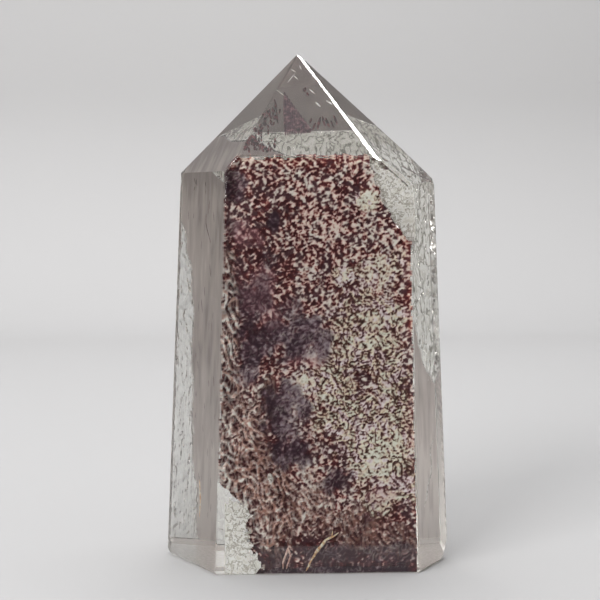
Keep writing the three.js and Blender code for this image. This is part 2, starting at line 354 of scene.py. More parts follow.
# Its outline, as (height, place across).
GARDEN_LEFT = [(0, -6.5), (3.3, -7.2), (6.6, -8.0), (8.4, -8.4), (10.0, -9.8), (10.8, -10.9),
               (30, -10.42), (47.6, -9.92), (49.5, -8.6)]
GARDEN_RIGHT = [(0, 12.8), (4, 12.7), (23, 12.2), (39, 11.8), (40.2, 11.3), (41.8, 10.1),
                (44.4, 8.5), (47.3, 7.7), (49.5, 6.9)]
GARDEN_TOP, GARDEN_FOOT = 49.4, 0.06
STRAIGHT_RIM = 0.12     # share of the outline's crumbs that is left on the two upright rims
LIP = 0.8               # how far the layer is drawn forward along those rims
RELIEF, MOUND = 0.26, 0.24          # of its grains, and of its broad swells
SLATE_SUNK = 0.35       # how much deeper the slate patches lie

# Its patches, as (x, z, half width, half height, strength).
SLATE = [(-8.9, 45.7, 1.3, 2.3, 0.9), (-9.4, 41.2, 0.9, 1.5, 0.6), (-4.5, 41.7, 0.7, 1.2, 1.0),
         (-4.4, 37.4, 1.5, 1.0, 0.5), (-6.3, 32.3, 1.9, 2.8, 0.75), (-1.2, 27.6, 3.1, 2.5, 1.0),
         (-4.2, 28.2, 2.3, 2.2, 0.85), (-7.0, 26.6, 1.5, 3.4, 0.95), (-2.6, 31.4, 1.8, 1.4, 0.7),
         (-3.0, 19.6, 2.7, 3.8, 1.0), (-2.6, 15.4, 2.7, 3.2, 1.0), (-3.2, 17.4, 2.6, 2.6, 1.0),
         (-7.4, 23.6, 1.2, 1.2, 0.5), (3.2, 11.2, 1.8, 1.9, 0.9), (2.6, 2.2, 3.4, 1.1, 0.5),
         (9.4, 2.2, 3.6, 1.1, 0.6), (-3.6, 1.8, 1.3, 1.4, 0.6), (-8.4, 35.0, 0.8, 2.0, 0.4),
         (5.0, 0.3, 10.0, 0.6, 1.0)]
SAND = [(-9.9, 27.0, 1.4, 11.0, 1.0), (-7.6, 14.0, 3.2, 7.0, 1.0), (-3.8, 8.4, 3.4, 5.6, 1.0),
        (0.4, 8.0, 3.2, 3.4, 0.8), (5.2, 6.0, 3.0, 2.6, 0.8), (9.0, 4.0, 4.0, 2.2, 0.7),
        (-4.8, 21.0, 0.9, 3.0, 0.7)]
OPEN = [(7.5, 27.5, 4.4, 7.0, 1.0), (8.6, 35.5, 3.0, 3.0, 0.7), (8.4, 15.0, 4.4, 7.6, 1.0),
        (4.4, 19.0, 4.0, 6.0, 1.0), (-0.4, 22.8, 1.7, 1.8, 0.9), (3.8, 35.4, 1.2, 1.2, 0.9),
        (6.8, 44.6, 1.3, 1.3, 0.9)]
BRIGHT = [(7.9, 12.6, 0.8, 1.8, 1.2), (8.6, 14.0, 2.6, 4.0, 0.65), (-0.4, 22.8, 1.3, 1.4, 0.7),
          (3.8, 35.4, 0.8, 0.9, 1.1), (3.0, 47.2, 1.2, 0.8, 0.5), (6.8, 44.6, 1.1, 1.2, 0.7),
          (-5.2, 11.0, 0.28, 0.5, 1.4), (-2.6, 45.6, 1.0, 0.5, 0.9), (-0.1, 46.6, 0.5, 0.7, 1.0),
          (3.2, 41.4, 0.9, 0.9, 0.4), (8.0, 29.4, 2.6, 2.6, 0.35), (8.6, 8.6, 1.4, 1.0, 0.7),
          (-4.4, 45.0, 1.6, 0.8, 0.4), (-3.6, 40.2, 1.0, 1.0, 0.4)]
DEEP = [(6.3, 46.9, 1.6, 1.5, 0.9), (9.1, 41.9, 1.1, 1.7, 0.9), (3.4, 38.6, 0.8, 1.5, 0.7),
        (0.4, 4.6, 1.9, 2.3, 1.0), (5.0, 30.6, 1.2, 1.6, 0.5), (8.6, 25.4, 1.0, 1.2, 0.4),
        (-9.9, 19.6, 0.6, 1.6, 1.0), (-10.2, 47.0, 0.8, 1.6, 0.8), (3.4, 11.0, 1.6, 1.6, 0.6),
        (5.5, 4.0, 7.0, 2.4, 0.8), (3.1, 9.8, 1.7, 1.8, 0.9)]
ROSE = [(-7.3, 40.3, 1.7, 2.2, 1.0), (-6.0, 33.6, 1.9, 2.4, 0.8), (-0.8, 25.4, 2.2, 0.9, 0.5),
        (-5.6, 9.4, 1.6, 1.4, 0.4), (-4.6, 30.4, 1.6, 1.4, 0.7), (8.3, 9.4, 1.6, 1.0, 0.6)]

# Its grains and threads, as spacing, seed, how uneven the spacing is, how far they lean in radians,
# and how much taller than wide they are.
GROWN = {"coarse": (0.95, 11, 0.35), "fine": (0.6, 10, 0.4), "speck": (0.34, 9, 0.3),
         "loose": (0.95, 17, 0.5), "gap": (1.9, 12, 0.5), "outline": (1.3, 19, 0.4),
         "curl": (1.0, 15, 0.5), "rope": (1.3, 14, 0.35, 0.3, 2.4),
         "fibre": (0.8, 18, 0.4, 0.1, 2.0)}


def patches(x, z, spots, uneven):
    """How much of a kind of patch is at each place. uneven makes the rims ragged."""
    total = np.zeros_like(x)
    for middle_x, middle_z, half_x, half_z, strength in spots:
        off = ((x - middle_x) / half_x) ** 2 + ((z - middle_z) / half_z) ** 2
        total = np.maximum(total, strength * step(1.5 - off + uneven, 0, 1))
    return total


def growth(x0, z0):
    """The garden's pattern at places given in mm, as the shares that its material reads."""
    # The threads wander by up to 0.3 mm from even curves.
    x = x0 + 0.07 * cloud(x0, z0, 0.5, 1, 2) + 0.25 * cloud(x0, z0, 2.6, 2, 1)
    z = z0 + 0.07 * cloud(x0, z0, 0.5, 3, 2) + 0.25 * cloud(x0, z0, 2.6, 4, 1)
    uneven, grain = cloud(x0, z0, size=1.8, seed=5), cloud(x0, z0, size=0.4, seed=8)
    clump, patchy = cloud(x, z, 2.4, 6, octaves=2), cloud(x, z, 1.0, 7, octaves=2)
    slate, sand = patches(x0, z0, SLATE, 0.9 * uneven), patches(x0, z0, SAND, 0.7 * uneven)
    opened, bright = patches(x0, z0, OPEN, 0.8 * uneven), patches(x0, z0, BRIGHT, 0.7 * uneven)
    deep, rose = patches(x0, z0, DEEP, 0.9 * uneven), patches(x0, z0, ROSE, 0.9 * uneven)
    sand = sand * (1 - 0.6 * opened)
    grains, line = {}, {}
    for name, how in GROWN.items():
        grains[name], line[name] = waves(x, z, *how)

    # Close curls in the thicket, loose ones in the open part, and dark gaps between them.
    close = 0.56 * grains["coarse"] + 0.46 * grains["fine"]
    loose = 0.3 * grains["loose"] + 0.33 * grains["fine"]
    curls = (1 - opened) * close + opened * loose + 0.3 * grains["speck"]
    gaps = fade(line["gap"], 0.06, 0.17) * np.clip(0.6 - 0.5 * clump, 0.05, 1) * (1 - 0.6 * opened)
    outlines = fade(line["outline"], 0.05, 0.15) * np.clip(1.3 - 0.6 * patchy, 0.5, 1.6)
    gaps = gaps + opened * outlines

    # The tone runs from dark grains to pale ones. Open and bright patches are paler, and deep
    # patches, the left side, the foot and the lower right rim are darker.
    tone = (1 - 0.4 * rose - 0.5 * slate) * curls + (0.4 - 0.28 * opened) * clump + 0.12 * grain
    tone = tone + (0.4 - 0.15 * opened) * patchy + 0.05 + 0.37 * opened + 0.55 * bright
    tone = tone - 0.8 * deep - 0.7 * gaps
    tone = tone - 0.26 * fade(x0, -7.0, 3.0) * (1 - 0.6 * rose) - 0.9 * fade(z0, 2.0, 5.5)
    tone = tone - 0.2 * step(x0 + 0.5 * uneven, 9.5, 11.5) * fade(z0, 28, 32)
    tone = np.tanh((1.65 + 0.15 * opened) * tone)

    # Pale ropes and fibres lie on the sandy ground, and pale curls on the slate.
    rope = fade(line["rope"], 0.11, 0.24) * np.clip(0.95 + 0.5 * patchy, 0.2, 1)
    fibre = fade(line["fibre"], 0.04, 0.14) * np.clip(0.8 + 0.5 * patchy, 0, 1)
    curl = fade(line["curl"], 0.03, 0.14) * np.clip(0.4 + 0.5 * grain + 0.7 * clump, 0, 1)
    past_left = along(z0, GARDEN_LEFT) - x0
    paler = np.maximum(step(past_left, -2.6, -0.4) * fade(z0, 7, 11),
                       0.7 * step(past_left, -2.4, -0.8))

    # Rust gathers at the top, along the upper right rim and in some spots of the upper half.
    to_right = along(z0, GARDEN_RIGHT) - x0
    rust = np.maximum(step(z0 + 0.4 * uneven, 47.8, 48.9),
                      fade(to_right, 0, 1.1) * step(z0, 27, 29) * fade(z0, 40, 42))
    rust = np.maximum(rust, 0.5 * step(cloud(x, z, 1.3, 33, 2), 0.4, 0.9) * step(z0, 30, 36))
    return {"tone": 0.5 + 0.5 * tone, "worm": np.maximum(rope, 0.5 * fibre), "curl": curl,
            "slate": slate, "sand": sand * (1 - 0.5 * deep), "opened": opened, "rust": rust,
            "rose": rose, "hue": 0.5 + 0.6 * cloud(x, z, 0.7, 34, 2),
            "grain": grain * 0.4 + 0.5 + 0.5 * paler}


def garden_edges(x, z):
    """How far in mm a place is inside the garden's outline, with the outline's crumbs."""
    crumbs = 0.22 * cloud(x, z, size=0.7, seed=21) + 0.1 * cloud(x, z, size=0.3, seed=22)
    upright = (x < -9) & (z > 11) | (x > 11) & (z < 39)
    crumbs = crumbs * np.where(upright, STRAIGHT_RIM, 1.0)
    inside = np.minimum(x - along(z, GARDEN_LEFT), along(z, GARDEN_RIGHT) - x)
    return np.minimum(inside, GARDEN_TOP - z) + crumbs


def mark_growth(piece):
    """Writes the pattern's shares onto a piece's vertices, where the material finds them."""
    spots = np.empty(3 * len(piece.data.vertices))
    piece.data.vertices.foreach_get("co", spots)
    spots = spots.reshape(-1, 3) / MM
    for name, share in growth(spots[:, 0], spots[:, 2]).items():
        marks = piece.data.attributes.new(name, "FLOAT", "POINT")
        marks.data.foreach_set("value", share.astype(np.float32))


def sheet(left, right, top, cell, inside, front_at, back_at, narrowing=0.0):
    """A closed sheet that stands upright in the stone. inside gives how far in mm a place is within
    its outline, front_at and back_at how far back its two sides are. The rim narrows towards the
    back, so that it isn't seen through the faces beside it."""
    shape = bmesh.new()
    wide, tall = (right - left) / 2, (top - GARDEN_FOOT) / 2
    placed = Matrix.Translation(Vector((left + wide, 0, GARDEN_FOOT + tall)) * MM)
    placed = placed @ Matrix.Rotation(math.pi / 2, 4, "X") @ Matrix.Diagonal((wide, tall, 1, 1))
    bmesh.ops.create_grid(shape, x_segments=round(2 * wide / cell),
                          y_segments=round(2 * tall / cell), size=MM, matrix=placed)
    spots = np.array([v.co for v in shape.verts]) / MM
    outside = [v for v, far in zip(shape.verts, inside(spots[:, 0], spots[:, 2])) if far <= 0]
    bmesh.ops.delete(shape, geom=outside, context="VERTS")
    bmesh.ops.delete(shape, geom=[v for v in shape.verts if not v.link_faces], context="VERTS")
    spots = np.array([v.co for v in shape.verts]) / MM
    for v, depth in zip(shape.verts, front_at(spots[:, 0], spots[:, 2])):
        v.co.y = float(depth) * MM
    bmesh.ops.recalc_face_normals(shape, faces=shape.faces)
    if sum(f.normal.y for f in shape.faces) > 0:
        bmesh.ops.reverse_faces(shape, faces=shape.faces)
    border = [e for e in shape.edges if e.is_boundary]
    drawn = bmesh.ops.extrude_edge_only(shape, edges=border)["geom"]
    for v in drawn:
        if isinstance(v, bmesh.types.BMVert):
            x, z = v.co.x / MM, v.co.z / MM
            back = float(back_at(x, z)) * MM
            narrow = narrowing * (back - v.co.y)
            to_left, to_right = x - along(z, GARDEN_LEFT), along(z, GARDEN_RIGHT) - x
            v.co.y = back
            if GARDEN_TOP - z < min(to_left, to_right):
                v.co.z -= narrow
            else:
                v.co.x += narrow if to_left < to_right else -narrow
    back_rim = [e for e in drawn if isinstance(e, bmesh.types.BMEdge) and e.is_boundary]
    bmesh.ops.triangle_fill(shape, use_beauty=True, use_dissolve=False, edges=back_rim,
                            normal=(0, 1, 0))
    bmesh.ops.recalc_face_normals(shape, faces=shape.faces)
    return shape


def behind_front(z, depth):
    """How far back a place is that lies at a depth behind the polished front face."""
    return FRONT_AT_BASE + z * FRONT_LEAN + depth


def garden_front(x, z):
    """The garden's surface, in low relief and drawn forward along its two upright rims."""
    shares = growth(x, z)
    slate = shares["slate"]
    relief = (1 - slate) * RELIEF * (shares["tone"] - 0.5)
    relief = relief + slate * (0.08 * shares["curl"] - SLATE_SUNK)
    relief = relief + 0.12 * shares["worm"] * shares["sand"]
    mound = MOUND * cloud(x, z, 5.0, 31, octaves=2)
    lip = LIP * np.maximum(step(along(z, GARDEN_LEFT) - x, -1.4, 0.1) * step(z, 9, 11),
                           step(x - along(z, GARDEN_RIGHT), -1.4, 0.1) * fade(z, 39, 41))
    return behind_front(z, BEHIND_FACE) - lip - (1 - lip) * (mound + relief)


garden = sheet(left=-11.5, right=13.5, top=51.0, cell=GARDEN_CELL, inside=garden_edges,
               front_at=garden_front, back_at=lambda x, z: behind_front(z, BEHIND_FACE + THICK),
               narrowing=NARROWING)

# Dull, mossy minerals: iron oxide gives the maroon and rust, chlorite and clay the slate and cream.
# They were never polished, so they are matt, and fine grit breaks up every colour.
GRIT = 5200.0           # per metre, so 0.2 mm
LIGHT = 1.1             # light on the garden, where 1 is light that shows white as white
GETS_OUT, TURNED_BACK = 0.37, 0.6   # shares of the minerals' light, at the polished face
PALEST = 0.94           # no mineral is paler
SHARES = ("tone", "worm", "curl", "slate", "sand", "opened", "rust", "rose", "hue", "grain")
MINERALS = {            # the share that each runs with, from dark grains to pale ones
    "peach": ("toned", [(0.0, "#280e11"), (0.25, "#4c2224"), (0.45, "#7e524d"), (0.65, "#ab8078"),
                        (0.85, "#cfaca1"), (1.0, "#ecd8cb")]),
    "clay": ("toned", [(0.0, "#301c21"), (0.25, "#4e3537"), (0.45, "#785e5a"), (0.65, "#a28f89"),
                       (0.85, "#c7b8af"), (1.0, "#e8dfd6")]),
    "pepper": ("toned", [(0.0, "#2f1a19"), (0.25, "#563b34"), (0.45, "#8a7063"), (0.65, "#bba18b"),
                         (0.85, "#dfcaad"), (1.0, "#f6e9cf")]),
    "lilac": ("toned", [(0.0, "#2f1a1e"), (0.25, "#583c3f"), (0.45, "#8b6f71"), (0.65, "#b89da0"),
                        (0.85, "#dac4c9"), (1.0, "#f2e5ea")]),
    "mossy": ("toned", [(0.0, "#2c1c19"), (0.25, "#533f38"), (0.45, "#837367"), (0.65, "#aea592"),
                        (0.85, "#cfcdb9"), (1.0, "#ecefde")]),
    "rosy": ("toned", [(0.0, "#43242a"), (0.3, "#794f53"), (0.6, "#a67a7b"), (1.0, "#cfaaa5")]),
    "bed": ("toned", [(0.0, "#240e11"), (0.5, "#43272a"), (1.0, "#7c5c55")]),
    "sandy": ("grained", [(0.25, "#8a6156"), (0.55, "#c0978b"), (0.85, "#e6cfc2"),
                          (1.0, "#f9f1e8")]),
    "slaty": ("toned", [(0.0, "#1f131b"), (0.3, "#33262f"), (0.7, "#4b3d48"), (1.0, "#6e606a")]),
    "pale": ("grain", [(0.3, "#6d6068"), (1.0, "#a5968f")]),
    "rusty": ("toned", [(0.0, "#400c10"), (0.4, "#6e241f"), (0.7, "#b0735f"), (1.0, "#e2bda5")])}
BLENDS = [              # what it makes, below, above, the share that is above, its range, its most
    ("thicket", "peach", "clay", "hue", 0.35, 0.75, 1.0),
    ("pale_lace", "mossy", "pepper", "hue", 0.2, 0.5, 1.0),
    ("lace", "pale_lace", "lilac", "hue", 0.5, 0.8, 1.0),
    ("ground", "thicket", "lace", "opened", 0.0, 1.0, 1.0),
    ("ground", "ground", "rosy", "rose", 0.0, 1.0, 0.9),
    ("roped", "bed", "sandy", "worm", 0.0, 1.0, 1.0),
    ("ground", "ground", "roped", "sand", 0.0, 1.0, 1.0),
    ("curled", "slaty", "pale", "curl", 0.0, 1.0, 0.7),
    ("ground", "ground", "curled", "slate", 0.0, 1.0, 0.88),
    ("ground", "ground", "rusty", "rust", 0.0, 1.0, 0.5)]


def under_quartz(stops):
    """Ramp stops in the colours that a mineral needs to look as given through the polished face.
    The face turns back over half of the light that the minerals send out, so they are paler."""
    lifted = []
    for place, hex_code in stops:
        wanted = [c / LIGHT for c in colour(hex_code)[:3]]
        needed = (min(c / (GETS_OUT + TURNED_BACK * c), PALEST) for c in wanted)
        lifted.append((place, (*needed, 1.0)))
    return lifted


minerals, tree = new_material("iron_and_chlorite_growth_matt")
where = add(tree, "ShaderNodeTexCoord").outputs["Object"]
seen = {name: add(tree, "ShaderNodeAttribute", attribute_name=name).outputs["Fac"]
        for name in SHARES}
grit = add(tree, "ShaderNodeTexNoise", {"Vector": where, "Scale": GRIT, "Detail": 3.0})
gritty = add(tree, "ShaderNodeMapRange", {"Value": grit.outputs["Fac"], "To Min": -0.12,
                                          "To Max": 0.12})
seen["toned"] = add(tree, "ShaderNodeMath", {0: seen["tone"], 1: gritty}, operation="ADD")
half = add(tree, "ShaderNodeMath", {0: seen["toned"], 1: 0.5, 2: -0.15}, operation="MULTIPLY_ADD")
seen["grained"] = add(tree, "ShaderNodeMath", {0: seen["grain"], 1: half}, operation="ADD")
for name, (share, stops) in MINERALS.items():
    seen[name] = add(tree, "ShaderNodeValToRGB", {"Fac": seen[share]}, stops=under_quartz(stops))
for name, below, above, share, low, high, most in BLENDS:
    part = add(tree, "ShaderNodeMapRange", {"Value": seen[share], "From Min": low,
                                            "From Max": high, "To Max": most},
               interpolation_type="SMOOTHSTEP" if share == "hue" else "LINEAR")
    seen[name] = add(tree, "ShaderNodeMix", {0: part, 6: seen[below], 7: seen[above]},
                     data_type="RGBA").outputs[2]
bumps = add(tree, "ShaderNodeBump", {"Height": grit.outputs["Fac"], "Strength": 0.3,
                                     "Distance": 0.03 * MM})
dull = add(tree, "ShaderNodeMapRange", {"Value": grit.outputs["Fac"], "To Min": 0.6,
                                        "To Max": 0.9})
body = add(tree, "ShaderNodeBsdfPrincipled", {"Base Color": seen["ground"], "Roughness": dull,
                                              "Normal": bumps, "Specular IOR Level": 0.2})
add(tree, "ShaderNodeOutputMaterial", {"Surface": body})
layer = finish_piece(garden, "garden_layer", minerals, "garden_minerals", "garden_inclusion")
mark_growth(layer)

# Moss behind the layer: rounded tufts of the same minerals that reach back into the clear quartz.
# They are what is seen of the garden from the sides and the back.
TUFTS = 700             # places that are tried
TUFT_LEAST, TUFT_MOST = 0.3, 1.25
TUFT_SUNK = 0.2         # how far a tuft is sunk into the layer
TUFT_CRUMBS = 0.14      # how uneven it is
RIM_ROOM = (1.7, 0.7)   # a tuft keeps 1.7 of its size and 0.7 mm away from the garden's outline
draw = np.random.default_rng(41)
ball = bmesh.new()
bmesh.ops.create_uvsphere(ball, u_segments=8, v_segments=6, radius=MM)
one_tuft = bpy.data.meshes.new("one_tuft")
ball.to_mesh(one_tuft)
ball.free()
moss = bmesh.new()
for tuft in range(TUFTS):
    x, z = draw.uniform(-11, 13), draw.uniform(0, GARDEN_TOP)
    size, out = draw.uniform(TUFT_LEAST, TUFT_MOST), draw.uniform(0.8, 1.5)
    flat, turn = draw.uniform(0.6, 1.0), draw.uniform(0, math.pi)
    room = garden_edges(np.array([x]), np.array([z]))[0]
    if room > RIM_ROOM[0] * size + RIM_ROOM[1] and z > size + 0.1:
        back = behind_front(z, BEHIND_FACE + THICK) + out * size - TUFT_SUNK
        place = Matrix.Translation(Vector((x, back, z)) * MM) @ Matrix.Rotation(turn, 4, "Y")
        place = place @ Matrix.Diagonal((size, size * out, size * flat, 1))
        moss.from_mesh(one_tuft)
        bmesh.ops.transform(moss, matrix=place, verts=moss.verts[-len(one_tuft.vertices):])
bpy.data.meshes.remove(one_tuft)
bmesh.ops.recalc_face_normals(moss, faces=moss.faces)
spots = np.array([v.co for v in moss.verts]) / MM
swell = TUFT_CRUMBS * cloud(spots[:, 0] + spots[:, 1], spots[:, 2] + 0.7 * spots[:, 1], 0.7, 42, 2)
for v, out in zip(moss.verts, swell):
    v.co += v.normal * (float(out) * MM)
for f in moss.faces:
    f.smooth = True
tufts = finish_piece(moss, "garden_moss", minerals, "garden_minerals")
mark_growth(tufts)

# Milky veils. Old cracks in the quartz that healed into sheets of tiny bubbles, white and matt,
# with a crackle of clear joints. One closes the upper right corner, the other lies beside and
# under the left part of the garden.
VEIL_CELL, VEIL_THICK = 0.13, 0.3
VEIL_UNEVEN = 0.12      # how far its front swells and sinks
BEHIND_GARDEN = 0.5     # how far a veil runs on behind the garden's rim
JOINTS, SPECKS = 1300.0, 4200.0     # per metre, so 0.8 and 0.2 mm
veil_milk, tree = new_material("healed_fracture_milky")
where = add(tree, "ShaderNodeTexCoord").outputs["Object"]
joints = add(tree, "ShaderNodeTexNoise", {"Vector": where, "Scale": JOINTS, "Detail": 3.0,
                                          "Distortion": 0.6}).outputs["Fac"]
specks = add(tree, "ShaderNodeTexNoise", {"Vector": where, "Scale": SPECKS, "Detail": 2.0})
crumbled = add(tree, "ShaderNodeMath", {0: specks.outputs["Fac"], 1: 0.32, 2: joints},
               operation="MULTIPLY_ADD")
milk = add(tree, "ShaderNodeValToRGB", {"Fac": crumbled},
           stops=under_quartz([(0.46, "#f6f4ee"), (0.58, "#dedbd1"), (0.635, "#7d776c"),
                               (0.66, "#8f897d"), (0.7, "#fdfcf8"), (0.78, "#dedbd1"),
                               (0.86, "#c0bcb0")]))
bumps = add(tree, "ShaderNodeBump", {"Height": joints, "Strength": 0.5, "Distance": 0.1 * MM})
frost = add(tree, "ShaderNodeMapRange", {"Value": joints, "To Min": 0.4, "To Max": 0.7})
body = add(tree, "ShaderNodeBsdfPrincipled", {"Base Color": milk, "Roughness": frost,
                                              "Normal": bumps})
add(tree, "ShaderNodeOutputMaterial", {"Surface": body})


def corner_edges(x, z):
    """The veil in the upper right corner, between the garden and the front right edge."""
    inside = np.minimum(x - along(z, GARDEN_RIGHT) + BEHIND_GARDEN, 12.3 - x)
    sloping_top = (48.9 - z) - 0.75 * np.maximum(x - 8.0, 0)
    inside = np.minimum(inside, np.minimum(z - 38.6, sloping_top))
    return inside + 0.4 * cloud(x, z, size=1.6, seed=51) - 0.1


def foot_edges(x, z):
    """The veil beside and under the left part of the garden."""
    crumbs = 0.5 * cloud(x, z, size=1.0, seed=52) + 0.8 * cloud(x, z, 0.5, 54, octaves=2)
    inside = np.minimum(along(z, GARDEN_LEFT) + BEHIND_GARDEN - x, 8.8 - z) + crumbs
    return np.minimum(inside, x + 10.25)


for name, edges, sides, depth in (("veil_upper_right", corner_edges, (6.5, 13.0, 50.0), 2.0),
                                  ("veil_lower_left", foot_edges, (-10.7, -5.0, 10.0), 0.7)):
    veil = sheet(*sides, VEIL_CELL, edges,
                 lambda x, z: behind_front(z, depth - VEIL_UNEVEN * cloud(x, z, 2.0, 53)),
                 lambda x, z: behind_front(z, depth + VEIL_THICK))
    finish_piece(veil, name, veil_milk, "garden_minerals")

# Small things that the crystal closed in: cracks stained golden by iron at the garden's foot, dark
# iron flakes and needles under the front point face, and white flecks of old fractures, painted
# white as the glints they throw. Some white splinters on the right face are painted highlights.
# Each is a list of splinters, as half the thickness and the two ends in x and z.
STAINED = [(0.09, [(3.3, 4.9), (2.5, 4.3)]), (0.08, [(2.6, 5.1), (2.5, 4.3)]),
           (0.15, [(2.5, 4.4), (1.7, 4.0)]), (0.2, [(1.8, 4.1), (1.1, 3.1)]),
           (0.22, [(1.2, 3.3), (0.5, 2.4)]), (0.15, [(0.7, 2.6), (0.1, 1.7)]),
           (0.12, [(0.2, 1.9), (-0.5, 0.5)])]
CLAYEY = [(0.15, [(-2.65, 3.2), (-3.0, 2.2)]), (0.13, [(-2.95, 2.4), (-3.35, 1.3)]),
          (0.1, [(-3.3, 1.5), (-3.3, 0.7)]), (0.14, [(-2.7, 3.1), (-2.35, 2.1)]),
          (0.12, [(-2.35, 2.3), (-2.75, 1.2)]), (0.1, [(-2.7, 1.4), (-2.9, 0.7)])]
NEEDLES = [(0.17, [(0.35, 52.5), (0.75, 53.3)]), (0.19, [(1.0, 52.7), (1.35, 54.0)]),
           (0.15, [(1.6, 54.1), (1.9, 53.0)]), (0.17, [(2.0, 53.9), (2.35, 52.9)]),
           (0.15, [(3.0, 54.2), (3.3, 53.3)]), (0.14, [(0.1, 53.3), (0.3, 53.9)]),
           (0.2, [(-0.45, 57.2), (-0.3, 57.7)]), (0.12, [(-4.1, 56.2), (-3.8, 55.2)]),
           (0.12, [(2.6, 53.6), (2.9, 52.8)]), (0.16, [(-0.15, 57.1), (0.05, 56.7)]),
           (0.1, [(-3.9, 55.0), (-3.7, 53.2)])]
LEFT_TICKS = [(0.06, [(-12.02, 42.6), (-12.05, 41.5)]), (0.07, [(-12.05, 41.7), (-11.9, 40.7)]),
              (0.07, [(-11.92, 40.9), (-11.68, 40.0)]), (0.05, [(-11.7, 40.1), (-11.5, 39.3)]),
              (0.05, [(-11.6, 36.6), (-11.5, 35.3)]), (0.05, [(-12.64, 32.3), (-12.52, 30.9)]),
              (0.07, [(-13.45, 46.9), (-13.3, 46.3)]), (0.07, [(-13.2, 46.8), (-13.15, 46.1)]),
              (0.06, [(-13.4, 45.9), (-13.5, 45.5)]), (0.06, [(-12.1, 46.5), (-12.05, 46.0)])]
# a white wavy scratch low on the right face; the last four splinters, higher up, are painted
# highlights of its vertical streaks
RIGHT_SCRATCH_AND_HIGHLIGHTS = [(0.1, [(14.85, 15.2), (14.35, 13.8)]), (0.12, [(14.35, 13.9), (14.65, 12.4)]),
               (0.12, [(14.65, 12.5), (14.5, 10.9)]), (0.15, [(14.5, 11.1), (14.0, 9.8)]),
               (0.15, [(14.0, 9.9), (13.85, 8.5)]), (0.1, [(13.85, 8.6), (13.5, 7.6)]),
               (0.12, [(13.34, 29.7), (13.64, 28.0)]), (0.1, [(13.64, 28.1), (13.3, 26.3)]),
               (0.12, [(14.4, 25.9), (14.56, 24.2)]), (0.1, [(14.56, 24.3), (14.2, 22.6)])]
SHOULDER_CRACK = [(0.1, [(11.0, 48.1), (12.3, 47.5)]), (0.09, [(12.2, 47.6), (13.4, 46.9)]),
                  (0.08, [(13.3, 47.0), (14.8, 46.45)])]
# painted glints: white flecks of old fractures under the point, painted white as the glints they
# throw
FLECKS_AND_GLINTS = [(0.07, [(-1.9, 60.0), (-1.4, 59.7)]), (0.05, [(-0.9, 60.5), (-0.7, 60.0)]),
          (0.06, [(-1.6, 59.2), (-1.2, 58.8)]), (0.08, [(0.2, 57.5), (0.8, 57.0)]),
          (0.12, [(0.9, 55.9), (1.4, 55.4)]), (0.11, [(2.2, 56.1), (2.8, 55.7)]),
          (0.04, [(-2.4, 58.4), (-1.6, 59.4)]), (0.05, [(-3.7, 57.4), (-3.0, 56.8)])]
OCHRE = [(0.1, [(-12.95, 10.6), (-12.88, 9.2)]), (0.14, [(-12.9, 9.4), (-12.86, 7.8)]),
         (0.1, [(-12.86, 8.0), (-12.98, 6.2)])]
FELDSPAR = [(0.34, [(-4.9, 12.0), (-4.65, 11.0)])]

# Under the point, a triangular flake of iron oxide shows as blades side by side. Its right side
# slopes down by 1.4. Fine dark needles stand near the left edge of the point face, most of them
# low down, and faint ticks are strewn under the left face.
FLAKE_FOOT, FLAKE_PEAK, FLAKE_SLOPE = 52.2, (-2.96, 56.9), 1.4
POINT_EDGE_X, POINT_EDGE_Z, POINT_EDGE_SLOPE = -8.3, 49.4, 0.58
LOW_BLADES, ALL_BLADES, TICKS = 40, 90, 36
flake = [(0.24, [(x, FLAKE_FOOT), (x + 0.05, FLAKE_PEAK[1] - FLAKE_SLOPE * (x - FLAKE_PEAK[0]))])
         for x in np.arange(-2.85, 0.2, 0.26)]
blades = []
draw = np.random.default_rng(61)
for number in range(ALL_BLADES):
    low, tall, wide = (49.8, 1.5, 3.2) if number < LOW_BLADES else (50.5, 4.7, 1.7)
    z = low + tall * draw.uniform(0, 1)
    x = POINT_EDGE_X + (z - POINT_EDGE_Z) * POINT_EDGE_SLOPE + draw.uniform(0.1, 0.5)
    x += wide * draw.uniform(0, 1)**1.5
    aside, long = draw.uniform(-0.2, 0.2), draw.uniform(0.25, 0.6)
    blades.append((draw.uniform(0.1, 0.18), [(x, z), (x + aside, z + long)]))
ticks = []
for number in range(TICKS):
    x, z, long = draw.uniform(-14.4, -10.9), draw.uniform(4, 46), draw.uniform(0.4, 1.1)
    thick = draw.uniform(0.025, 0.045)
    ticks.append((thick, [(x, z), (x + draw.uniform(-0.08, 0.08), z + long)]))

# Iron oxide is nearly black, iron stain golden and clay tan. All of them are dull, and grains of
# 0.4 mm break up their colours.
GRAINS = 2600.0         # per metre


def stained(name, *stops):
    """A dull mineral whose colour changes from grain to grain."""
    made, tree = new_material(name)
    where = add(tree, "ShaderNodeTexCoord").outputs["Object"]
    grains = add(tree, "ShaderNodeTexNoise", {"Vector": where, "Scale": GRAINS,
                                              "Detail": 3.0}).outputs["Fac"]
    tones = add(tree, "ShaderNodeValToRGB", {"Fac": grains}, stops=under_quartz(stops))
    dull = add(tree, "ShaderNodeMapRange", {"Value": grains, "To Min": 0.4, "To Max": 0.7})
    body = add(tree, "ShaderNodeBsdfPrincipled", {"Base Color": tones, "Roughness": dull})
    add(tree, "ShaderNodeOutputMaterial", {"Surface": body})
    return made


def under(face, depth):
    """Gives how far back the places are that lie at a depth in mm under a polished face."""
    middle, out = face.place / MM, face.normal
    return lambda x, z: middle.y - (depth + out.x * (x - middle.x) + out.z * (z - middle.z)) / out.y


